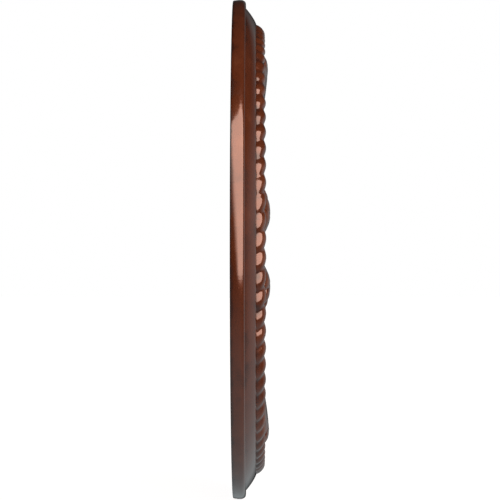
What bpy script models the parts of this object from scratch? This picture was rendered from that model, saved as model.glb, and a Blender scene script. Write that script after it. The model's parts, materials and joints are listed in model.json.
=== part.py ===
"""Ceiling medallion: a round moulded rosette with a stepped rim, a rope border and acanthus leaves.

Metres. The medallion stands on edge as it would against a wall: its flat back lies in the plane y = 0,
its carved face looks along -Y, X runs across it and Z up it. On a ceiling, -Y points down.

It is drawn lying on its back and then turned up: "radius" is the distance from its axis, "height" is the
distance from the back, and "across" is the distance from a leaf's midrib.
"""

import math
from typing import NamedTuple

import bmesh
import bpy
from mathutils import Matrix

NAME = "medallion"

# Rim, step and the plain moulding under the rope; RIM_BOW is how far the rim draws in toward the back
OUTER_RADIUS = 0.2800
BACK_ROUNDING = 0.0012
RIM_BOW = 0.0007
RIM_TOP_HEIGHT = 0.0083
SHOULDER_WIDTH = 0.0042
LAND_RADIUS = 0.2716
LAND_HEIGHT = 0.0142
OVOLO_RADIUS = 0.2568
OVOLO_HEIGHT = 0.0242
OVOLO_BULGE = (0.0003, 0.0005)
LIP_RADIUS = 0.2533
LIP_HEIGHT = 0.0251

# Rope border: ROPE_LAY is how many strands a strand would shift in one full turn of the rope, and
# ROPE_SLANT is the power that makes its section slant like a roof (1 is half-round)
ROPE_RADIUS = 0.2417
ROPE_THICKNESS = 0.0114
ROPE_CENTRE_HEIGHT = 0.0238
ROPE_BED_HEIGHT = 0.0160
ROPE_STRANDS = 82
ROPE_GROOVE = 0.0021
ROPE_GROOVE_POWER = 1.15
ROPE_LAY = 1.7
ROPE_TURN = math.radians(1.45)
ROPE_SLANT = 1.15

# Dished field between the rope and the centre
FIELD_OUTER_RADIUS = 0.2310
FIELD_OUTER_HEIGHT = 0.0224
FIELD_INNER_RADIUS = 0.0850
FIELD_INNER_HEIGHT = 0.0162

# Centre: a plain round seat for a lamp's canopy inside a half-round ring
SEAT_HEIGHT = 0.0224
RING_RADIUS = 0.0706
RING_THICKNESS = 0.0076

# How finely the solid is faceted
TURNED_SEGMENTS = 60
RING_STEPS = 4
COVE_STEPS = 2
FIELD_STEPS = 3
OVOLO_STEPS = 3
SHOULDER_STEPS = 3
BACK_STEPS = 2
RIBS_PER_STRAND = 3
ROPE_ARCH_STEPS = 4
ROWS_PER_LOBE = 4
ROWS_IN_TIP_LOBE = 7
REACHES = (0.0, 0.3, 0.6, 0.84, 1.0)

# Leaves: LEAF_BED_HEIGHT is how deep they are set into the field, LEAF_FOOT how far their sides draw in
# below the edge, LEAF_LIFT the least they stand above the field, LEAF_CURL how far the tip curls down
LEAF_BED_HEIGHT = 0.0110
LEAF_FOOT = 0.93
LEAF_LIFT = 0.0028
LEAF_CURL = 0.0035
ROOT_CREST_SHARE = 0.25
ROOT_MIDRIB_SHARE = 0.35

# The outline of every leaf, in shares of its length and powers that make it squarer or more pointed
WIDEST_SHARE = 0.58
EDGE_SQUARENESS = 0.6
ROOT_TAPER = 1.2
TIP_TAPER = 0.8
LOBE_ROUNDNESS = 0.6
VEIN_SHARE = 0.62
VEIN_SPREAD = 1.5
MIDRIB_ROUNDNESS = 1.5

# Points closer than this become one when a half is spun or mirrored
MERGE_DISTANCE = 0.00001
CREASE_ANGLE = math.radians(50)


class Leaf(NamedTuple):
    """One kind of acanthus leaf, drawn from its root at the ring to its curled tip at the rope.

    On each side of the midrib it has a long crest, which rises from root_height to crest_height at
    crest_radius, crest_across from the midrib. side_fall bends the sides down from the crest, and notch
    is the share of a lobe's length that is cut away between lobes.
    """
    root_radius: float
    tip_radius: float
    root_half_width: float
    half_width: float
    lobes: int
    tip_lobe_share: float
    root_height: float
    crest_height: float
    crest_radius: float
    crest_across: float
    midrib_depth: float
    side_fall: float
    crease_depth: float
    notch: float


MAIN_LEAF = Leaf(
    root_radius=0.0740, tip_radius=0.2225, root_half_width=0.0150, half_width=0.0740,
    lobes=4, tip_lobe_share=0.62, root_height=0.0240, crest_height=0.0397, crest_radius=0.2100,
    crest_across=0.0325, midrib_depth=0.0140, side_fall=5.0, crease_depth=0.0034, notch=0.20)
SIDE_LEAF = Leaf(
    root_radius=0.0740, tip_radius=0.2130, root_half_width=0.0100, half_width=0.0500,
    lobes=4, tip_lobe_share=0.66, root_height=0.0225, crest_height=0.0308, crest_radius=0.1950,
    crest_across=0.0190, midrib_depth=0.0070, side_fall=5.0, crease_depth=0.0028, notch=0.24)

# The main leaves stand a little unevenly, as hand carving does, counted round from +X
MAIN_LEAF_RISE = (0.0, -0.0008, 0.0, 0.0005)


def arc(centre, radii, start, end, steps):
    """Points along a quarter or half of an ellipse, with its angles in degrees."""
    points = []
    for step in range(steps + 1):
        angle = math.radians(start + (end - start) * step / steps)
        points.append((centre[0] + radii[0] * math.cos(angle), centre[1] + radii[1] * math.sin(angle)))
    return points


def bowed_line(start, end, bulge, steps):
    """Points along a gentle bow from start to end, whose middle is pushed out by bulge."""
    points = []
    for step in range(steps + 1):
        t = step / steps
        push = 4 * t * (1 - t)
        points.append(tuple(start[k] + (end[k] - start[k]) * t + bulge[k] * push for k in (0, 1)))
    return points


def field_height(radius):
    """Height of the dished field, which rises from the ring to the rope."""
    share = (radius - FIELD_INNER_RADIUS) / (FIELD_OUTER_RADIUS - FIELD_INNER_RADIUS)
    return FIELD_INNER_HEIGHT + (FIELD_OUTER_HEIGHT - FIELD_INNER_HEIGHT) * max(share, 0.0) ** 2


def turned_profile():
    """The turned body's outline from the middle of the seat out to the rim and back along the base."""
    ring_foot = RING_RADIUS + RING_THICKNESS
    cove_width = FIELD_INNER_RADIUS - ring_foot
    cove_drop = SEAT_HEIGHT - FIELD_INNER_HEIGHT
    points = [(0.0, SEAT_HEIGHT)]
    points += arc((RING_RADIUS, SEAT_HEIGHT), (RING_THICKNESS, RING_THICKNESS), 180, 0, RING_STEPS)
    points += arc((FIELD_INNER_RADIUS, SEAT_HEIGHT), (cove_width, cove_drop), 180, 270, COVE_STEPS)[1:]
    for step in range(1, FIELD_STEPS + 1):
        radius = FIELD_INNER_RADIUS + (FIELD_OUTER_RADIUS - FIELD_INNER_RADIUS) * step / FIELD_STEPS
        points.append((radius, field_height(radius)))
    points.append((LIP_RADIUS, LIP_HEIGHT))
    ovolo = (OVOLO_RADIUS, OVOLO_HEIGHT), (LAND_RADIUS, LAND_HEIGHT)
    points += bowed_line(*ovolo, OVOLO_BULGE, OVOLO_STEPS)
    shoulder = (SHOULDER_WIDTH, LAND_HEIGHT - RIM_TOP_HEIGHT)
    points += arc((OUTER_RADIUS - SHOULDER_WIDTH, RIM_TOP_HEIGHT), shoulder, 90, 0, SHOULDER_STEPS)
    back = (BACK_ROUNDING, BACK_ROUNDING)
    points += arc((OUTER_RADIUS - RIM_BOW - BACK_ROUNDING, BACK_ROUNDING), back, 0, -90, BACK_STEPS)
    points.append((0.0, 0.0))
    return points


def strand_bulge(phase):
    """How full the rope is at a phase between one groove (0) and the next (1)."""
    return abs(math.sin(math.pi * phase)) ** ROPE_GROOVE_POWER


def rope_mesh():
    """A twisted half-round rope: ribs that lean along the strands, closed by a flat bed."""
    bm = bmesh.new()
    ribs = []
    rib_count = ROPE_STRANDS * RIBS_PER_STRAND
    for rib in range(rib_count):
        bulge = strand_bulge(rib / RIBS_PER_STRAND)
        thickness = ROPE_THICKNESS - ROPE_GROOVE * (1 - bulge)
        section = []
        for step in range(ROPE_ARCH_STEPS + 1):
            arch = math.pi * step / ROPE_ARCH_STEPS
            angle = ROPE_TURN + math.tau * rib / rib_count - ROPE_LAY * arch / ROPE_STRANDS
            sideways = math.copysign(abs(math.cos(arch)) ** ROPE_SLANT, math.cos(arch))
            radius = ROPE_RADIUS + thickness * sideways
            height = ROPE_CENTRE_HEIGHT + thickness * abs(math.sin(arch)) ** ROPE_SLANT
            section.append(bm.verts.new((radius * math.cos(angle), radius * math.sin(angle), height)))
        for vert in (section[-1], section[0]):
            section.append(bm.verts.new((vert.co.x, vert.co.y, ROPE_BED_HEIGHT)))
        ribs.append(section)
    for rib, section in enumerate(ribs):
        following = ribs[(rib + 1) % rib_count]
        for k in range(len(section)):
            after = (k + 1) % len(section)
            bm.faces.new((section[k], following[k], following[after], section[after]))
    return smooth_mesh("rope", bm)


def leaf_phases(leaf):
    """Phases of a leaf's rows of points: whole numbers are the creases between its lobes."""
    phases = [row / ROWS_PER_LOBE for row in range((leaf.lobes - 1) * ROWS_PER_LOBE)]
    return phases + [leaf.lobes - 1 + row / ROWS_IN_TIP_LOBE for row in range(ROWS_IN_TIP_LOBE + 1)]


def leaf_share(leaf, phase):
    """The share of the outline that a phase has reached: each lobe is wider than the one before."""
    power = math.log(leaf.tip_lobe_share) / math.log(1 - 1 / leaf.lobes)
    return (phase / leaf.lobes) ** power


def leaf_edge(leaf, share):
    """The smooth outline that a leaf's lobes touch, from the root (share 0) to the tip (share 1)."""
    widest = leaf.root_radius + WIDEST_SHARE * (leaf.tip_radius - leaf.root_radius)
    turn = math.pi * share
    if share < 0.5:
        along = widest - (widest - leaf.root_radius) * math.cos(turn) ** EDGE_SQUARENESS
        taper = ROOT_TAPER
    else:
        along = widest + (leaf.tip_radius - widest) * abs(math.cos(turn)) ** EDGE_SQUARENESS
        taper = TIP_TAPER
    root_width = leaf.root_half_width * math.cos(math.pi * share / 2)
    return along, leaf.half_width * math.sin(turn) ** taper + root_width


def leaf_vein_root(leaf, share):
    """Where on the midrib the vein starts that ends at this share of the outline."""
    return leaf.root_radius + VEIN_SHARE * (leaf.tip_radius - leaf.root_radius) * share ** VEIN_SPREAD


def leaf_height(leaf, along, across, fullness, reach, rise):
    """Height of a leaf's top: a rising crest on each side of a sunk midrib, falling to the lobes' ends."""
    growth = min(max((along - leaf.root_radius) / (leaf.crest_radius - leaf.root_radius), 0.0), 1.0)
    crest = leaf.root_height + (leaf.crest_height + rise - leaf.root_height) * growth
    crest_across = leaf.crest_across * (ROOT_CREST_SHARE + (1 - ROOT_CREST_SHARE) * growth)
    midrib_depth = leaf.midrib_depth * (ROOT_MIDRIB_SHARE + (1 - ROOT_MIDRIB_SHARE) * growth)
    midrib = midrib_depth * max(1 - across / crest_across, 0.0) ** MIDRIB_ROUNDNESS
    side = leaf.side_fall * max(across - crest_across, 0.0) ** 2
    past_crest = max(along - leaf.crest_radius, 0.0) / (leaf.tip_radius - leaf.crest_radius)
    curl = LEAF_CURL * past_crest ** 2
    crease = leaf.crease_depth * (1 - fullness) * reach
    return max(crest - midrib - side - curl - crease, field_height(along) + LEAF_LIFT)


def half_leaf_mesh(name, leaf, rise):
    """Half a leaf from its midrib to its lobed edge, open on the midrib's plane for a mirror."""
    bm = bmesh.new()
    columns = []
    for phase in leaf_phases(leaf):
        share = leaf_share(leaf, phase)
        fullness = abs(math.sin(math.pi * phase)) ** LOBE_ROUNDNESS
        length = 1 - leaf.notch * (1 - fullness)
        root = leaf_vein_root(leaf, share)
        edge_along, edge_across = leaf_edge(leaf, share)
        if phase == leaf.lobes:
            edge_across = 0.0
        column = []
        for reach in REACHES:
            along = root + (edge_along - root) * reach * length
            across = edge_across * reach * length
            height = leaf_height(leaf, along, across, fullness, reach, rise)
            column.append(bm.verts.new((along, across, height)))
        for reach in (LEAF_FOOT, 0.0):
            along = root + (edge_along - root) * reach * length
            column.append(bm.verts.new((along, edge_across * reach * length, LEAF_BED_HEIGHT)))
        columns.append(column)
    for column, following in zip(columns, columns[1:]):
        for k in range(len(column) - 1):
            bm.faces.new((column[k], column[k + 1], following[k + 1], following[k]))
    bm.faces.new(columns[0][::-1])
    return smooth_mesh(name, bm)


def smooth_mesh(name, bm):
    """Turn a bmesh into a named mesh, shaded smooth up to its creases."""
    mesh = bpy.data.meshes.new(name)
    bm.to_mesh(mesh)
    bm.free()
    mesh.shade_smooth()
    mesh.set_sharp_from_angle(angle=CREASE_ANGLE)
    return mesh


def painted_material():
    """Glossy red-brown paint with a bronze cast."""
    material = bpy.data.materials.new("bronze_brown_paint")
    material.use_nodes = True
    shader = material.node_tree.nodes["Principled BSDF"]
    shader.inputs["Base Color"].default_value = (0.105, 0.032, 0.014, 1.0)
    shader.inputs["Metallic"].default_value = 0.35
    shader.inputs["Roughness"].default_value = 0.30
    return material


def new_collection(name):
    """A new collection in the scene."""
    collection = bpy.data.collections.new(name)
    bpy.context.scene.collection.children.link(collection)
    return collection


def turned_body(collection):
    """The medallion's plain turned form: its profile spun about its axis."""
    profile = bmesh.new()
    verts = [profile.verts.new((radius, 0.0, height)) for radius, height in turned_profile()]
    for first, second in zip(verts, verts[1:]):
        profile.edges.new((first, second))
    body = bpy.data.objects.new(NAME, smooth_mesh(NAME, profile))
    collection.objects.link(body)
    screw = body.modifiers.new("turned", "SCREW")
    screw.axis = "Z"
    screw.steps = TURNED_SEGMENTS
    screw.render_steps = TURNED_SEGMENTS
    screw.use_merge_vertices = True
    screw.merge_threshold = MERGE_DISTANCE
    screw.use_smooth_shade = True
    return body


def add_relief(collection, mesh, angle=0.0):
    """Place a form that is joined to the body, turned about the medallion's axis."""
    relief = bpy.data.objects.new(mesh.name, mesh)
    relief.matrix_world = Matrix.Rotation(math.pi / 2, 4, "X") @ Matrix.Rotation(angle, 4, "Z")
    relief.hide_render = True
    relief.display_type = "WIRE"
    collection.objects.link(relief)
    return relief


def add_leaf(collection, leaf, name, angle, rise=0.0):
    """Place a leaf whose midrib runs out at this angle, counted round from +X."""
    relief = add_relief(collection, half_leaf_mesh(name, leaf, rise), angle)
    mirror = relief.modifiers.new("other_half", "MIRROR")
    mirror.use_axis = (False, True, False)
    mirror.merge_threshold = MERGE_DISTANCE


def join_relief(body, relief):
    """Make the body and everything in the relief collection one solid."""
    joined = body.modifiers.new("joined_relief", "BOOLEAN")
    joined.operation = "UNION"
    joined.operand_type = "COLLECTION"
    joined.collection = relief


def build():
    """Build the medallion as one solid, standing on edge."""
    for old in list(bpy.data.objects):
        bpy.data.objects.remove(old, do_unlink=True)
    part = new_collection("ceiling_medallion")
    relief = new_collection("relief_forms")
    body = turned_body(part)
    body.matrix_world = Matrix.Rotation(math.pi / 2, 4, "X")
    body.data.materials.append(painted_material())
    add_relief(relief, rope_mesh())
    quarter = math.pi / 2
    for corner, rise in enumerate(MAIN_LEAF_RISE):
        add_leaf(relief, MAIN_LEAF, f"main_leaf_{corner}", corner * quarter, rise)
        add_leaf(relief, SIDE_LEAF, f"side_leaf_{corner}", (corner + 0.5) * quarter)
    join_relief(body, relief)


build()
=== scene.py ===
"""Looks of the ceiling medallion: the finely carved moulding, its paint, the light and the camera.

Metres. The moulding is drawn lying on its back and then stood on edge, as the CAD solid is: "radius" is the
distance from its axis, "height" the distance from its back, and "across" the distance from a leaf's midrib.
"""

import json
import math
from typing import NamedTuple

import bmesh
import bpy
import numpy as np
from mathutils import Matrix
from mathutils.bvhtree import BVHTree

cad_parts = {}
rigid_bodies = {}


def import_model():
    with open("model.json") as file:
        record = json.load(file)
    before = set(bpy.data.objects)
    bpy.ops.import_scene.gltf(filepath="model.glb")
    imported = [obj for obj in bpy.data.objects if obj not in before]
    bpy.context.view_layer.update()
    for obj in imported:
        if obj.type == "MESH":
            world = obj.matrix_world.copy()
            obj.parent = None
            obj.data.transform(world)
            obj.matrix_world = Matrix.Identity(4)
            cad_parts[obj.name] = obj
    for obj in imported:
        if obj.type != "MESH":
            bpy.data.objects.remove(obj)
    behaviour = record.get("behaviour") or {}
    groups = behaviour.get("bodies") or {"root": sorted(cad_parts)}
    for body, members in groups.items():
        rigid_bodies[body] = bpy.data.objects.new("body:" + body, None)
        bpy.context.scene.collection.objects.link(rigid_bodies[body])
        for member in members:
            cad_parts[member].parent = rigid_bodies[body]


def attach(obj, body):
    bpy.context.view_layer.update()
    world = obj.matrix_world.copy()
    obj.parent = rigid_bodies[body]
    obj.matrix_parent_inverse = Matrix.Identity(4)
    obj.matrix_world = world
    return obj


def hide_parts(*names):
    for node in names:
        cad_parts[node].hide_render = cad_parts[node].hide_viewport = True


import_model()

CAD_NODE = "medallion"
PIECE = "medallion_moulding"

# Rim, step and the plain moulding under the rope
OUTER_RADIUS = 0.2800
BACK_ROUNDING = 0.0012
RIM_BOW = 0.0007
RIM_TOP_HEIGHT = 0.0083
SHOULDER_WIDTH = 0.0042
LAND_RADIUS = 0.2716
LAND_HEIGHT = 0.0142
QUIRK_WIDTH = 0.0010
QUIRK_DEPTH = 0.0007
OVOLO_RADIUS = 0.2568
OVOLO_HEIGHT = 0.0242
OVOLO_BULGE = (0.0003, 0.0005)
LIP_RADIUS = 0.2533
LIP_HEIGHT = 0.0258

# Flat underside of the rope and the pearls, inside the body
WINDING_BED_HEIGHT = 0.0160

# Dished field between the rope and the centre
FIELD_OUTER_RADIUS = 0.2310
FIELD_OUTER_HEIGHT = 0.0224
FIELD_INNER_RADIUS = 0.0850
FIELD_INNER_HEIGHT = 0.0162

# Centre: a plain round seat inside a ring of pearls
SEAT_HEIGHT = 0.0224
RING_RADIUS = 0.0706
RING_THICKNESS = 0.0076
RING_CORE_THICKNESS = 0.0058

# How finely the moulding is drawn
TURNED_SEGMENTS = 240
SEAT_STEPS = 8
RING_STEPS = 12
COVE_STEPS = 5
FIELD_STEPS = 24
OVOLO_STEPS = 10
SHOULDER_STEPS = 8
BACK_STEPS = 4
RIM_STEPS = 6
ROWS_PER_FINGER = 8
LEAF_STEPS = 20
EDGE_STEPS = 6
LEAF_STEP_POWER = 1.4

# Leaves, close to the solid's
LEAF_BED_HEIGHT = 0.0110
LEAF_FOOT = 0.95
LEAF_LIFT = 0.0028
LEAF_CURL = 0.0035
ROOT_CREST_SHARE = 0.25
ROOT_MIDRIB_SHARE = 0.35
WIDEST_SHARE = 0.58
EDGE_SQUARENESS = 0.6
ROOT_TAPER = 1.2
TIP_TAPER = 0.8
LOBE_ROUNDNESS = 0.6
VEIN_SHARE = 0.62
VEIN_SPREAD = 1.5
MIDRIB_ROUNDNESS = 1.5

# Finer carving of the leaves: fingers on each lobe, the step where one lobe lies over the next, the stem
# on the midrib, the eyes between lobes and the rounding of the edge
FINGER_NOTCH = 0.07
FINGER_CREASE = 0.0016
FINGER_ROUNDNESS = 0.7
TIP_FINGER_SHARE = 0.3
LOBE_STEP = 0.0016
LOBE_STEP_GROWTH = 1.25
STEM_HEIGHT = 0.0022
STEM_HALF_WIDTHS = (0.0042, 0.0014)
STEM_FADE_POWER = 4
EYE_DEPTH = 0.0022
EYE_REACH = 0.52
EYE_LENGTH = 0.14
EYE_WIDTH = 0.10
EDGE_DROP_SHARE = 0.45
EDGE_ROUNDING_SHARE = 0.16
SMOOTH_MEETING = 0.0016

# Finishing of the mesh: a face that looks back by more than BACK_FACING belongs to the flat back
MERGE_DISTANCE = 0.00001
CREASE_ANGLE = math.radians(40)
BACK_FACING = 0.99


class Winding(NamedTuple):
    """A half-round ring of equal swellings, the strands of a rope or pearls.

    roundness is the power of a swelling's profile, and slant is the power that makes the ring's section
    slant like a roof, where 1 is half-round. lay is how many swellings it would shift in a full turn round
    its section, and turn is the angle round the ring where the first one starts.
    """
    radius: float
    height: float
    thickness: float
    groove: float
    count: int
    ribs: int
    steps: int
    roundness: float
    slant: float = 1.0
    lay: float = 0.0
    turn: float = 0.0


class Leaf(NamedTuple):
    """One kind of acanthus leaf, drawn from its root at the ring to its curled tip at the rope.

    fingers is how many each lobe has, from the root to the tip, tip_lobe_share is how far along the outline
    the tip lobe starts, and notch is the share by which the outline draws in between lobes.
    """
    root_radius: float
    tip_radius: float
    root_half_width: float
    half_width: float
    fingers: tuple
    tip_lobe_share: float
    root_height: float
    crest_height: float
    crest_radius: float
    crest_across: float
    midrib_depth: float
    side_fall: float
    crease_depth: float
    notch: float


ROPE = Winding(
    radius=0.2417, height=0.0238, thickness=0.0114, groove=0.0021, count=82, ribs=12, steps=18,
    roundness=1.15, slant=1.15, lay=1.7, turn=math.radians(1.45))
PEARL_RING = Winding(
    radius=RING_RADIUS, height=SEAT_HEIGHT, thickness=RING_THICKNESS, groove=0.0030, count=48, ribs=8,
    steps=10, roundness=0.55)

MAIN_LEAF = Leaf(
    root_radius=0.0740, tip_radius=0.2225, root_half_width=0.0150, half_width=0.0740,
    fingers=(2, 3, 3, 5), tip_lobe_share=0.62, root_height=0.0240, crest_height=0.0397,
    crest_radius=0.1990, crest_across=0.0325, midrib_depth=0.0140, side_fall=5.0,
    crease_depth=0.0034, notch=0.20)
SIDE_LEAF = Leaf(
    root_radius=0.0740, tip_radius=0.2130, root_half_width=0.0100, half_width=0.0500,
    fingers=(1, 2, 3, 3), tip_lobe_share=0.66, root_height=0.0225, crest_height=0.0308,
    crest_radius=0.1950, crest_across=0.0190, midrib_depth=0.0070, side_fall=5.0,
    crease_depth=0.0028, notch=0.24)

# The main leaves stand a little unevenly, counted round from +X
MAIN_LEAF_RISE = (0.0, -0.0008, 0.0, 0.0005)

# The camera stands beside the medallion, level with its centre, and looks across it
CAMERA_PLACE = (-1.710, -0.02304, 0.0)
CAMERA_LENS = 108.25
CAMERA_SENSOR = 36.0
CAMERA_SHIFT = (-0.0077, -0.0011)

# Floor, which glows, to be nearly as pale as the white behind it
FLOOR_SIZE = 14.0
FLOOR_GAP = 0.0005
FLOOR_COLOUR = (0.15, 0.15, 0.15, 1.0)
FLOOR_ROUGHNESS = 0.9
FLOOR_GLOW = 0.955

# The window of light, drawn by direction on a plane one metre away: azimuth is counted from -X toward -Y.
# Each edge is (slope, place, softness). The light falls off where across + slope * up passes the place, or
# up + slope * across at the bottom and the top. The top is bent, and the higher of its two edges holds. The
# light fades out over WINDOW_FRONT, where a direction runs nearly along the plane, and LEAST_AHEAD keeps the
# division there from failing
WINDOW_AZIMUTH = math.radians(38)
WINDOW_ELEVATION = math.radians(21)
WINDOW_LEFT = (0.23, -1.094, 0.28)
WINDOW_RIGHT = (-0.17, 0.94, 0.04)
WINDOW_BOTTOM = (-0.09, -0.645, 0.05)
WINDOW_TOPS = ((0.375, 0.885, 0.07), (0.57, 0.80, 0.05))
WINDOW_FRONT = (0.0, 0.05)
WINDOW_COLOUR = (1.0, 0.80, 0.68, 1.0)
WINDOW_BRIGHTNESS = 3.65
LEAST_AHEAD = 0.001

# The rest of the studio by direction: the backdrop fades in and out along X and upward, the floor's light
# grows downward, and what the camera sees behind the object is white
BACKDROP_START = (-0.2, 0.5)
BACKDROP_END = (1.00, 0.90)
BACKDROP_TOP = (0.45, 0.05)
BACKDROP_BRIGHTNESS = 0.30
FLOOR_LIGHT_RANGE = (-0.10, -1.0)
FLOOR_BRIGHTNESS = 0.335
AIR_BRIGHTNESS = 0.012
SURROUNDINGS_COLOUR = (0.90, 1.0, 1.03, 1.0)
WHITE = (1.0, 1.0, 1.0, 1.0)

# Paint: red-brown, with painted shade where it lies in hollows, and more bronze where it is rubbed. Those two
# colours come in over the sunk and rubbed ranges of the hollow map with its mottling
HOLLOW_SHADE_COLOUR = (0.050, 0.013, 0.006, 1.0)
PAINT_COLOUR = (0.130, 0.034, 0.013, 1.0)
RUBBED_COLOUR = (0.180, 0.055, 0.024, 1.0)
PAINT_METALLIC = 0.4
PAINT_ROUGHNESS = (0.12, 0.20)
HOLLOW_ROUGHNESS = 0.22
COAT_ROUGHNESS = 0.06
COAT_IOR = 1.6
MOTTLING = 1.3
MOTTLING_SCALE = 45.0
MOTTLING_DETAIL = 5.0
SUNK_SHADE_RANGE = (0.52, 0.95)
RUBBED_RANGE = (0.46, 0.08)
# Painted shade along the back edge: how far it reaches and how much it darkens the paint
BACK_EDGE_SHADE_WIDTH = 0.0045
BACK_EDGE_SHADE_DARKNESS = 0.45
PEEL_SCALE = 420.0
PEEL_DEPTH = 0.000004
WAVE_SCALE = 28.0
WAVE_DEPTH = 0.00004
STREAK_SCALE = 330.0
STREAK_DETAIL = 3.0
STREAK_STRETCH = 0.12
STREAK_DEPTH = 0.00003
STREAK_RADII = (OUTER_RADIUS - 3 * RIM_BOW, OUTER_RADIUS - RIM_BOW)

# Back: the bare side of the moulding, matt and slightly pitted
BACK_COLOURS = (0.120, 0.062, 0.040, 1.0), (0.240, 0.140, 0.098, 1.0)
BACK_ROUGHNESS = (0.60, 0.85)
STAIN_SCALE = 15.0
STAIN_DETAIL = 6.0
PIT_SCALE = 260.0
PIT_DETAIL = 4.0
PIT_DEPTH = 0.0002

# Hollow map: how far each point lies below the carving around it
HOLLOW_ATTRIBUTE = "hollow"
MAP_STEP = 0.002
MAP_BLUR_CELLS = 5
MAP_BLUR_PASSES = 3
HOLLOW_RANGE = 0.0030


def arc(centre, radii, start, end, steps):
    """Points along a quarter or half of an ellipse, with its angles in degrees."""
    points = []
    for step in range(steps + 1):
        angle = math.radians(start + (end - start) * step / steps)
        points.append((centre[0] + radii[0] * math.cos(angle), centre[1] + radii[1] * math.sin(angle)))
    return points


def bowed_line(start, end, bulge, steps):
    """Points along a gentle bow from start to end, whose middle is pushed out by bulge."""
    points = []
    for step in range(steps + 1):
        t = step / steps
        push = 4 * t * (1 - t)
        points.append(tuple(start[k] + (end[k] - start[k]) * t + bulge[k] * push for k in (0, 1)))
    return points


def field_height(radius):
    """Height of the dished field, which rises from the ring to the rope."""
    share = (radius - FIELD_INNER_RADIUS) / (FIELD_OUTER_RADIUS - FIELD_INNER_RADIUS)
    return FIELD_INNER_HEIGHT + (FIELD_OUTER_HEIGHT - FIELD_INNER_HEIGHT) * max(share, 0.0) ** 2


def turned_profile():
    """The turned body's outline from the middle of the seat out to the rim and back along the base."""
    ring_foot = RING_RADIUS + RING_THICKNESS
    cove_width = FIELD_INNER_RADIUS - ring_foot
    cove_drop = SEAT_HEIGHT - FIELD_INNER_HEIGHT
    core = (RING_CORE_THICKNESS, RING_CORE_THICKNESS)
    seat_radius = RING_RADIUS - RING_CORE_THICKNESS
    points = [(seat_radius * step / SEAT_STEPS, SEAT_HEIGHT) for step in range(SEAT_STEPS)]
    points += arc((RING_RADIUS, SEAT_HEIGHT), core, 180, 0, RING_STEPS)
    points += arc((FIELD_INNER_RADIUS, SEAT_HEIGHT), (cove_width, cove_drop), 180, 270, COVE_STEPS)
    for step in range(1, FIELD_STEPS + 1):
        radius = FIELD_INNER_RADIUS + (FIELD_OUTER_RADIUS - FIELD_INNER_RADIUS) * step / FIELD_STEPS
        points.append((radius, field_height(radius)))
    points.append((LIP_RADIUS, LIP_HEIGHT))
    ovolo = (OVOLO_RADIUS, OVOLO_HEIGHT), (LAND_RADIUS, LAND_HEIGHT - QUIRK_DEPTH)
    points += bowed_line(*ovolo, OVOLO_BULGE, OVOLO_STEPS)
    points.append((LAND_RADIUS + QUIRK_WIDTH, LAND_HEIGHT - QUIRK_DEPTH))
    shoulder = (SHOULDER_WIDTH, LAND_HEIGHT - RIM_TOP_HEIGHT)
    points += arc((OUTER_RADIUS - SHOULDER_WIDTH, RIM_TOP_HEIGHT), shoulder, 90, 0, SHOULDER_STEPS)
    for step in range(1, RIM_STEPS):
        drop = step / RIM_STEPS
        height = RIM_TOP_HEIGHT + (BACK_ROUNDING - RIM_TOP_HEIGHT) * drop
        points.append((OUTER_RADIUS - RIM_BOW * drop ** 2, height))
    back = (BACK_ROUNDING, BACK_ROUNDING)
    points += arc((OUTER_RADIUS - RIM_BOW - BACK_ROUNDING, BACK_ROUNDING), back, 0, -90, BACK_STEPS)
    points.append((0.0, 0.0))
    return points


def wound_ring(name, winding):
    """The mesh of a winding, closed by a flat bed under it."""
    bm = bmesh.new()
    rows = []
    rib_count = winding.count * winding.ribs
    for rib in range(rib_count):
        fullness = abs(math.sin(math.pi * rib / winding.ribs)) ** winding.roundness
        depth = winding.thickness - winding.groove * (1 - fullness)
        section = []
        for step in range(winding.steps + 1):
            arch = math.pi * step / winding.steps
            angle = winding.turn + math.tau * rib / rib_count - winding.lay * arch / winding.count
            sideways = math.copysign(abs(math.cos(arch)) ** winding.slant, math.cos(arch))
            out = winding.radius + depth * sideways
            up = winding.height + depth * abs(math.sin(arch)) ** winding.slant
            section.append(bm.verts.new((out * math.cos(angle), out * math.sin(angle), up)))
        for vert in (section[-1], section[0]):
            section.append(bm.verts.new((vert.co.x, vert.co.y, WINDING_BED_HEIGHT)))
        rows.append(section)
    for rib, section in enumerate(rows):
        following = rows[(rib + 1) % rib_count]
        for k in range(len(section)):
            after = (k + 1) % len(section)
            bm.faces.new((section[k], following[k], following[after], section[after]))
    return smooth_mesh(name, bm)


def leaf_rows(leaf):
    """A leaf's rows of points, each as the lobes passed, the fingers passed on its lobe, and the lobe."""
    rows = []
    for lobe, fingers in enumerate(leaf.fingers):
        steps = fingers * ROWS_PER_FINGER
        for row in range(steps):
            rows.append((lobe + row / steps, row / ROWS_PER_FINGER, lobe))
    last = len(leaf.fingers) - 1
    rows.append((last + 1.0, float(leaf.fingers[-1]), last))
    return rows


def leaf_share(leaf, phase):
    """The share of the outline that a phase has reached: each lobe is wider than the one before."""
    lobes = len(leaf.fingers)
    power = math.log(leaf.tip_lobe_share) / math.log(1 - 1 / lobes)
    return (phase / lobes) ** power


def leaf_edge(leaf, share):
    """The smooth outline that a leaf's lobes touch, from the root (share 0) to the tip (share 1)."""
    widest = leaf.root_radius + WIDEST_SHARE * (leaf.tip_radius - leaf.root_radius)
    turn = math.pi * share
    if share < 0.5:
        along = widest - (widest - leaf.root_radius) * math.cos(turn) ** EDGE_SQUARENESS
        taper = ROOT_TAPER
    else:
        along = widest + (leaf.tip_radius - widest) * abs(math.cos(turn)) ** EDGE_SQUARENESS
        taper = TIP_TAPER
    root_width = leaf.root_half_width * math.cos(math.pi * share / 2)
    return along, leaf.half_width * math.sin(turn) ** taper + root_width


def leaf_vein_root(leaf, share):
    """Where on the midrib the vein starts that ends at this share of the outline."""
    return leaf.root_radius + VEIN_SHARE * (leaf.tip_radius - leaf.root_radius) * share ** VEIN_SPREAD


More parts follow.
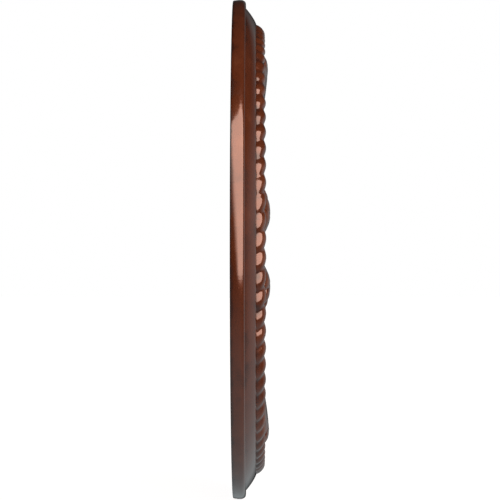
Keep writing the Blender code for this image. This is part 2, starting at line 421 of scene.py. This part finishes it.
def leaf_growth(leaf, along):
    """How far a leaf has risen between its root (0) and its crest (1)."""
    return min(max((along - leaf.root_radius) / (leaf.crest_radius - leaf.root_radius), 0.0), 1.0)


def leaf_height(leaf, along, across, rise):
    """Height of a leaf without its creases: a rising crest on each side of a sunk midrib."""
    growth = leaf_growth(leaf, along)
    crest = leaf.root_height + (leaf.crest_height + rise - leaf.root_height) * growth
    crest_across = leaf.crest_across * (ROOT_CREST_SHARE + (1 - ROOT_CREST_SHARE) * growth)
    midrib_depth = leaf.midrib_depth * (ROOT_MIDRIB_SHARE + (1 - ROOT_MIDRIB_SHARE) * growth)
    midrib = midrib_depth * max(1 - across / crest_across, 0.0) ** MIDRIB_ROUNDNESS
    side = leaf.side_fall * max(across - crest_across, 0.0) ** 2
    past_crest = max(along - leaf.crest_radius, 0.0) / (leaf.tip_radius - leaf.crest_radius)
    return crest - midrib - side - LEAF_CURL * past_crest ** 2


def stem_height(leaf, along, across):
    """How far the stem on the midrib stands up, thinner toward the tip."""
    growth = leaf_growth(leaf, along)
    half_width = STEM_HALF_WIDTHS[0] + (STEM_HALF_WIDTHS[1] - STEM_HALF_WIDTHS[0]) * growth
    roundness = math.sqrt(max(1 - (across / half_width) ** 2, 0.0))
    return STEM_HEIGHT * roundness * (1 - growth ** STEM_FADE_POWER)


def smooth_maximum(first, second):
    """The larger of two heights, with a soft hollow where they meet."""
    gap = first - second
    return (first + second + math.sqrt(gap * gap + SMOOTH_MEETING ** 2)) / 2


def carved_height(leaf, along, across, row, reach, fullness, finger_fullness, rise):
    """Height of a leaf's top with its creases, fingers, eyes, lobe steps and stem."""
    phase, _, lobe = row
    tip_lobe = lobe == len(leaf.fingers) - 1
    finger_share = TIP_FINGER_SHARE if tip_lobe else 1.0
    place = phase - lobe
    to_crease = min(place, 1 - place)
    eye = EYE_DEPTH * math.exp(-(to_crease / EYE_WIDTH) ** 2 - ((reach - EYE_REACH) / EYE_LENGTH) ** 2)
    if phase == 0 or phase == len(leaf.fingers) or (tip_lobe and place > 0.5):
        eye = 0.0
    step = LOBE_STEP * (0.5 - place) * math.sin(math.pi * min(reach * LOBE_STEP_GROWTH, 1.0) / 2)
    if lobe == 0 and place < 0.5 or tip_lobe and place > 0.5:
        step = 0.0
    top = leaf_height(leaf, along, across, rise)
    top -= leaf.crease_depth * (1 - fullness) * reach
    top -= FINGER_CREASE * finger_share * (1 - finger_fullness) * reach * fullness
    top += stem_height(leaf, along, across) - eye - step
    top = smooth_maximum(top, field_height(along) + LEAF_LIFT)
    into_edge = min(max(1 - (1 - reach) / EDGE_ROUNDING_SHARE, 0.0), 1.0)
    return top - EDGE_DROP_SHARE * (top - field_height(along)) * (1 - math.sqrt(1 - into_edge ** 2))


def half_leaf_mesh(name, leaf, rise):
    """Half a leaf from its midrib to its lobed edge, open on the midrib's plane for a mirror."""
    bm = bmesh.new()
    columns = []
    flat_share = 1 - EDGE_ROUNDING_SHARE
    reaches = [flat_share * (step / LEAF_STEPS) ** LEAF_STEP_POWER for step in range(LEAF_STEPS)]
    for step in range(EDGE_STEPS + 1):
        reaches.append(1 - EDGE_ROUNDING_SHARE * (1 - math.sin(math.pi / 2 * step / EDGE_STEPS)))
    for row in leaf_rows(leaf):
        phase, finger, _ = row
        share = leaf_share(leaf, phase)
        fullness = abs(math.sin(math.pi * phase)) ** LOBE_ROUNDNESS
        finger_fullness = abs(math.sin(math.pi * finger)) ** FINGER_ROUNDNESS
        length = 1 - leaf.notch * (1 - fullness)
        length *= 1 - FINGER_NOTCH * (1 - finger_fullness) * fullness
        root = leaf_vein_root(leaf, share)
        edge_along, edge_across = leaf_edge(leaf, share)
        if phase == len(leaf.fingers):
            edge_across = 0.0
        column = []
        for reach in reaches:
            along = root + (edge_along - root) * reach * length
            across = edge_across * reach * length
            height = carved_height(leaf, along, across, row, reach, fullness, finger_fullness, rise)
            column.append(bm.verts.new((along, across, height)))
        for reach in (LEAF_FOOT, 0.0):
            along = root + (edge_along - root) * reach * length
            column.append(bm.verts.new((along, edge_across * reach * length, LEAF_BED_HEIGHT)))
        columns.append(column)
    for column, following in zip(columns, columns[1:]):
        for k in range(len(column) - 1):
            bm.faces.new((column[k], following[k], following[k + 1], column[k + 1]))
    bm.faces.new(columns[0])
    return smooth_mesh(name, bm)


def smooth_mesh(name, bm):
    """Turn a bmesh into a named mesh, shaded smooth."""
    mesh = bpy.data.meshes.new(name)
    bm.to_mesh(mesh)
    bm.free()
    mesh.shade_smooth()
    return mesh


def turned_body():
    """The moulding's plain turned form: its profile spun about its axis."""
    profile = bmesh.new()
    verts = [profile.verts.new((radius, 0.0, height)) for radius, height in turned_profile()]
    for first, second in zip(verts, verts[1:]):
        profile.edges.new((first, second))
    body = bpy.data.objects.new(PIECE, smooth_mesh(PIECE, profile))
    bpy.context.scene.collection.objects.link(body)
    screw = body.modifiers.new("turned", "SCREW")
    screw.axis = "Z"
    screw.steps = TURNED_SEGMENTS
    screw.render_steps = TURNED_SEGMENTS
    screw.use_merge_vertices = True
    screw.merge_threshold = MERGE_DISTANCE
    return body


def add_relief(collection, mesh, angle=0.0):
    """Place a form that is joined to the body, turned about the moulding's axis."""
    relief = bpy.data.objects.new(mesh.name, mesh)
    relief.matrix_world = Matrix.Rotation(math.pi / 2, 4, "X") @ Matrix.Rotation(angle, 4, "Z")
    collection.objects.link(relief)
    return relief


def add_leaf(collection, leaf, name, angle, rise=0.0):
    """Place a leaf whose midrib runs out at this angle, counted round from +X."""
    relief = add_relief(collection, half_leaf_mesh(name, leaf, rise), angle)
    mirror = relief.modifiers.new("other_half", "MIRROR")
    mirror.use_axis = (False, True, False)
    mirror.merge_threshold = MERGE_DISTANCE


def relief_forms():
    """The rope, the pearls and the leaves, each closed and ready to be joined to the body."""
    relief = bpy.data.collections.new("relief_forms")
    bpy.context.scene.collection.children.link(relief)
    add_relief(relief, wound_ring("rope", ROPE))
    add_relief(relief, wound_ring("pearls", PEARL_RING))
    quarter = math.pi / 2
    for corner, rise in enumerate(MAIN_LEAF_RISE):
        add_leaf(relief, MAIN_LEAF, f"main_leaf_{corner}", corner * quarter, rise)
        add_leaf(relief, SIDE_LEAF, f"side_leaf_{corner}", (corner + 0.5) * quarter)
    return relief


def joined_moulding():
    """The body and its relief as one closed mesh, standing on edge."""
    body = turned_body()
    body.matrix_world = Matrix.Rotation(math.pi / 2, 4, "X")
    relief = relief_forms()
    joined = body.modifiers.new("joined_relief", "BOOLEAN")
    joined.operation = "UNION"
    joined.solver = "MANIFOLD"
    joined.operand_type = "COLLECTION"
    joined.collection = relief
    evaluated = body.evaluated_get(bpy.context.evaluated_depsgraph_get())
    mesh = bpy.data.meshes.new_from_object(evaluated)
    mesh.transform(body.matrix_world)
    for form in list(relief.objects):
        bpy.data.objects.remove(form, do_unlink=True)
    bpy.data.collections.remove(relief)
    body.modifiers.clear()
    body.matrix_world = Matrix.Identity(4)
    body.data = mesh
    mesh.name = PIECE
    mesh.shade_smooth()
    mesh.set_sharp_from_angle(angle=CREASE_ANGLE)
    return body


def blurred(grid):
    """A grid of heights averaged with its neighbours."""
    kernel = np.ones(MAP_BLUR_CELLS) / MAP_BLUR_CELLS
    for _ in range(MAP_BLUR_PASSES):
        for axis in (0, 1):
            grid = np.apply_along_axis(np.convolve, axis, grid, kernel, "same")
    return grid


def add_hollow_map(mesh):
    """Store at each point how deep it lies among its surroundings: 0 on a crest, 1 in a hollow."""
    corners = [vert.co for vert in mesh.vertices]
    tree = BVHTree.FromPolygons(corners, [face.vertices for face in mesh.polygons])
    cells = 2 * math.ceil(OUTER_RADIUS / MAP_STEP) + 1
    places = (np.arange(cells) - cells // 2) * MAP_STEP
    heights = np.full((cells, cells), LAND_HEIGHT)
    for column, across in enumerate(places):
        for row, up in enumerate(places):
            hit = tree.ray_cast((across, -OUTER_RADIUS, up), (0.0, 1.0, 0.0))[0]
            if hit:
                heights[column, row] = -hit.y
    depths = blurred(heights) - heights
    depths[np.hypot(places[:, None], places) > LAND_RADIUS] = 0.0
    cell = np.array(corners)[:, (0, 2)] / MAP_STEP + cells // 2
    near = np.clip(np.floor(cell).astype(int), 0, cells - 2)
    far_share = cell - near
    depth = 0.0
    for column in (0, 1):
        for row in (0, 1):
            share = abs(1 - column - far_share[:, 0]) * abs(1 - row - far_share[:, 1])
            depth = depth + share * depths[near[:, 0] + column, near[:, 1] + row]
    hollow = np.clip(0.5 + depth / (2 * HOLLOW_RANGE), 0.0, 1.0)
    mesh.attributes.new(HOLLOW_ATTRIBUTE, "FLOAT", "POINT").data.foreach_set("value", hollow)


def math_node(tree, operation, *values):
    """A maths node on two or three values, each a number or a socket."""
    added = tree.nodes.new("ShaderNodeMath")
    added.operation = operation
    for socket, value in zip(added.inputs, values):
        if isinstance(value, (int, float)):
            socket.default_value = value
        else:
            tree.links.new(value, socket)
    return added.outputs[0]


def vector_node(tree, operation, *values):
    """A vector maths node on vectors, each three numbers or a socket."""
    added = tree.nodes.new("ShaderNodeVectorMath")
    added.operation = operation
    for socket, value in zip(added.inputs, values):
        if isinstance(value, tuple):
            socket.default_value = value
        else:
            tree.links.new(value, socket)
    return added.outputs["Value" if operation in ("LENGTH", "DOT_PRODUCT") else "Vector"]


def soft_step(tree, value, start, end):
    """A smooth rise from 0 at start to 1 at end, which may lie below start."""
    step = tree.nodes.new("ShaderNodeMapRange")
    step.interpolation_type = "SMOOTHSTEP"
    step.inputs["From Min"].default_value = min(start, end)
    step.inputs["From Max"].default_value = max(start, end)
    step.inputs["To Min"].default_value = 0.0 if start < end else 1.0
    step.inputs["To Max"].default_value = 1.0 if start < end else 0.0
    tree.links.new(value, step.inputs["Value"])
    return step.outputs[0]


def noise(tree, place, scale, detail=2.0):
    """Noise between 0 and 1 at a place."""
    added = tree.nodes.new("ShaderNodeTexNoise")
    added.inputs["Scale"].default_value = scale
    added.inputs["Detail"].default_value = detail
    tree.links.new(place, added.inputs["Vector"])
    return added.outputs["Fac"]


def mixed_colour(tree, share, first, second):
    """A colour between two, each four numbers or a socket."""
    added = tree.nodes.new("ShaderNodeMix")
    added.data_type = "RGBA"
    tree.links.new(share, added.inputs["Factor"])
    for name, colour in (("A", first), ("B", second)):
        socket = next(s for s in added.inputs if s.name == name and s.type == "RGBA")
        if isinstance(colour, tuple):
            socket.default_value = colour
        else:
            tree.links.new(colour, socket)
    return next(s for s in added.outputs if s.type == "RGBA")


def between(tree, share, low, high):
    """A value that goes from low to high as a share goes from 0 to 1."""
    return math_node(tree, "MULTIPLY_ADD", share, high - low, low)


def bumped(tree, heights):
    """A surface normal from pairs of a height between 0 and 1 and its depth in metres."""
    normal = None
    for height, depth in heights:
        bump = tree.nodes.new("ShaderNodeBump")
        bump.inputs["Distance"].default_value = depth
        tree.links.new(height, bump.inputs["Height"])
        if normal:
            tree.links.new(normal, bump.inputs["Normal"])
        normal = bump.outputs["Normal"]
    return normal


def new_material(name):
    """A material with its node tree, its main shader and the place on the object in metres."""
    material = bpy.data.materials.new(name)
    material.use_nodes = True
    tree = material.node_tree
    place = tree.nodes.new("ShaderNodeTexCoord").outputs["Object"]
    return material, tree, tree.nodes["Principled BSDF"], place


def rim_streaks(tree, place):
    """Fine streaks across the rim, left by its mould, which fade out toward the carving."""
    flat = vector_node(tree, "MULTIPLY", place, (1.0, 0.0, 1.0))
    around = vector_node(tree, "MULTIPLY", vector_node(tree, "NORMALIZE", flat), (OUTER_RADIUS,) * 3)
    along = vector_node(tree, "MULTIPLY", place, (0.0, STREAK_STRETCH, 0.0))
    streak = noise(tree, vector_node(tree, "ADD", around, along), STREAK_SCALE, STREAK_DETAIL)
    radius = vector_node(tree, "LENGTH", flat)
    return math_node(tree, "MULTIPLY", streak, soft_step(tree, radius, *STREAK_RADII))


def paint_material():
    """Glossy bronze-brown paint, with painted shade that makes it darker and duller in hollows and at the
    back edge, rubbed on crests.
    """
    material, tree, shader, place = new_material("bronze_brown_paint")
    attribute = tree.nodes.new("ShaderNodeAttribute")
    attribute.attribute_name = HOLLOW_ATTRIBUTE
    hollow = attribute.outputs["Fac"]
    mottling = noise(tree, place, MOTTLING_SCALE, MOTTLING_DETAIL)
    tone_and_shade = math_node(tree, "MULTIPLY_ADD", mottling, MOTTLING, hollow)
    tone_and_shade = math_node(tree, "SUBTRACT", tone_and_shade, MOTTLING / 2)
    # Painted shade along the back edge: the paint darkens toward the back over a few millimetres
    height = vector_node(tree, "DOT_PRODUCT", place, (0.0, -1.0, 0.0))
    back_edge_shade = soft_step(tree, height, BACK_EDGE_SHADE_WIDTH, 0.0)
    tone_and_shade = math_node(tree, "MULTIPLY_ADD", back_edge_shade, BACK_EDGE_SHADE_DARKNESS, tone_and_shade)
    # Painted shade in hollows: the deeper a point lies, the darker and duller its paint
    sunk_shade = soft_step(tree, tone_and_shade, *SUNK_SHADE_RANGE)
    rubbed = soft_step(tree, tone_and_shade, *RUBBED_RANGE)
    colour = mixed_colour(tree, sunk_shade, PAINT_COLOUR, HOLLOW_SHADE_COLOUR)
    colour = mixed_colour(tree, rubbed, colour, RUBBED_COLOUR)
    tree.links.new(colour, shader.inputs["Base Color"])
    roughness = between(tree, mottling, *PAINT_ROUGHNESS)
    roughness = math_node(tree, "MULTIPLY_ADD", sunk_shade, HOLLOW_ROUGHNESS, roughness)
    tree.links.new(roughness, shader.inputs["Roughness"])
    normal = bumped(tree, (
        (noise(tree, place, WAVE_SCALE), WAVE_DEPTH),
        (noise(tree, place, PEEL_SCALE), PEEL_DEPTH),
        (rim_streaks(tree, place), STREAK_DEPTH)))
    tree.links.new(normal, shader.inputs["Normal"])
    tree.links.new(normal, shader.inputs["Coat Normal"])
    shader.inputs["Metallic"].default_value = PAINT_METALLIC
    shader.inputs["Coat Weight"].default_value = 1.0
    shader.inputs["Coat Roughness"].default_value = COAT_ROUGHNESS
    shader.inputs["Coat IOR"].default_value = COAT_IOR
    return material


def back_material():
    """The unpainted back: matt brown with small pits."""
    material, tree, shader, place = new_material("bare_back")
    stain = noise(tree, place, STAIN_SCALE, STAIN_DETAIL)
    tree.links.new(mixed_colour(tree, stain, *BACK_COLOURS), shader.inputs["Base Color"])
    tree.links.new(between(tree, stain, *BACK_ROUGHNESS), shader.inputs["Roughness"])
    normal = bumped(tree, ((noise(tree, place, PIT_SCALE, PIT_DETAIL), PIT_DEPTH),))
    tree.links.new(normal, shader.inputs["Normal"])
    return material


def dress(piece):
    """Give the moulding its paint, and its flat back a plainer finish."""
    piece.data.materials.clear()
    piece.data.materials.append(paint_material())
    piece.data.materials.append(back_material())
    for face in piece.data.polygons:
        face.material_index = 1 if face.normal.y > BACK_FACING else 0


def window_place(tree, direction):
    """Where a direction meets the window's plane: across it, up it and how squarely."""
    azimuth, elevation = WINDOW_AZIMUTH, WINDOW_ELEVATION
    forward = (-math.cos(azimuth) * math.cos(elevation), -math.sin(azimuth) * math.cos(elevation),
               math.sin(elevation))
    across = (math.sin(azimuth), -math.cos(azimuth), 0.0)
    up = (math.cos(azimuth) * math.sin(elevation), math.sin(azimuth) * math.sin(elevation),
          math.cos(elevation))
    squarely = vector_node(tree, "DOT_PRODUCT", direction, forward)
    ahead = math_node(tree, "MAXIMUM", squarely, LEAST_AHEAD)
    places = []
    for axis in (across, up):
        part = vector_node(tree, "DOT_PRODUCT", direction, axis)
        places.append(math_node(tree, "DIVIDE", part, ahead))
    return *places, squarely


def inside_edge(tree, first, second, edge, falls):
    """1 inside one of the window's edges and 0 past it; falls is 1 for an upper limit, -1 for a lower."""
    slope, place, softness = edge
    value = math_node(tree, "MULTIPLY_ADD", second, slope, first)
    return soft_step(tree, value, place + falls * softness, place - falls * softness)


def window_light(tree, direction):
    """Brightness of the window by direction."""
    across, up, squarely = window_place(tree, direction)
    light = soft_step(tree, squarely, *WINDOW_FRONT)
    tops = [inside_edge(tree, up, across, top, 1) for top in WINDOW_TOPS]
    edges = (
        inside_edge(tree, across, up, WINDOW_LEFT, -1),
        inside_edge(tree, across, up, WINDOW_RIGHT, 1),
        inside_edge(tree, up, across, WINDOW_BOTTOM, -1),
        math_node(tree, "MAXIMUM", *tops))
    for inside in edges:
        light = math_node(tree, "MULTIPLY", light, inside)
    return math_node(tree, "MULTIPLY", light, WINDOW_BRIGHTNESS)


def dim_light(tree, direction):
    """Brightness of the rest of the studio: a dim backdrop beside, the floor below and dark air above."""
    separate = tree.nodes.new("ShaderNodeSeparateXYZ")
    tree.links.new(direction, separate.inputs["Vector"])
    backdrop = BACKDROP_BRIGHTNESS
    for axis, fade in (("X", BACKDROP_START), ("X", BACKDROP_END), ("Z", BACKDROP_TOP)):
        share = soft_step(tree, separate.outputs[axis], *fade)
        backdrop = math_node(tree, "MULTIPLY", backdrop, share)
    below = soft_step(tree, separate.outputs["Z"], *FLOOR_LIGHT_RANGE)
    floor_light = math_node(tree, "MULTIPLY_ADD", below, FLOOR_BRIGHTNESS, AIR_BRIGHTNESS)
    return math_node(tree, "MAXIMUM", backdrop, floor_light)


def studio_world():
    """White behind the object, and for everything else a large soft window of light in dim surroundings."""
    world = bpy.data.worlds.new("studio")
    bpy.context.scene.world = world
    world.use_nodes = True
    tree = world.node_tree
    tree.nodes.clear()
    direction = tree.nodes.new("ShaderNodeTexCoord").outputs["Generated"]
    lights = []
    for colour, strength in ((WINDOW_COLOUR, window_light(tree, direction)),
                             (SURROUNDINGS_COLOUR, dim_light(tree, direction)),
                             (WHITE, None)):
        background = tree.nodes.new("ShaderNodeBackground")
        background.inputs["Color"].default_value = colour
        if strength:
            tree.links.new(strength, background.inputs["Strength"])
        lights.append(background.outputs[0])
    added = tree.nodes.new("ShaderNodeAddShader")
    tree.links.new(lights[0], added.inputs[0])
    tree.links.new(lights[1], added.inputs[1])
    mixed = tree.nodes.new("ShaderNodeMixShader")
    tree.links.new(tree.nodes.new("ShaderNodeLightPath").outputs["Is Camera Ray"], mixed.inputs[0])
    tree.links.new(added.outputs[0], mixed.inputs[1])
    tree.links.new(lights[2], mixed.inputs[2])
    output = tree.nodes.new("ShaderNodeOutputWorld")
    tree.links.new(mixed.outputs[0], output.inputs["Surface"])


def camera():
    """The photograph's view: from beside the medallion, straight across its face."""
    data = bpy.data.cameras.new("camera")
    data.lens = CAMERA_LENS
    data.sensor_width = CAMERA_SENSOR
    data.shift_x, data.shift_y = CAMERA_SHIFT
    placed = bpy.data.objects.new("camera", data)
    placed.location = CAMERA_PLACE
    placed.rotation_euler = (math.pi / 2, 0.0, -math.pi / 2)
    bpy.context.scene.collection.objects.link(placed)
    bpy.context.scene.camera = placed


def floor():
    """A plain pale floor just under the medallion."""
    bm = bmesh.new()
    bmesh.ops.create_grid(bm, x_segments=1, y_segments=1, size=FLOOR_SIZE / 2)
    placed = bpy.data.objects.new("floor", smooth_mesh("floor", bm))
    placed.location.z = -OUTER_RADIUS - FLOOR_GAP
    placed.visible_diffuse = False
    placed.visible_glossy = False
    bpy.context.scene.collection.objects.link(placed)
    material = bpy.data.materials.new("pale_floor")
    material.use_nodes = True
    shader = material.node_tree.nodes["Principled BSDF"]
    shader.inputs["Base Color"].default_value = FLOOR_COLOUR
    shader.inputs["Roughness"].default_value = FLOOR_ROUGHNESS
    shader.inputs["Emission Color"].default_value = WHITE
    shader.inputs["Emission Strength"].default_value = FLOOR_GLOW
    placed.data.materials.append(material)


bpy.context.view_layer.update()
moulding = joined_moulding()
add_hollow_map(moulding.data)
dress(moulding)
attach(moulding, "root")
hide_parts(CAD_NODE)
floor()
studio_world()
camera()
bpy.context.scene.view_settings.view_transform = "Standard"
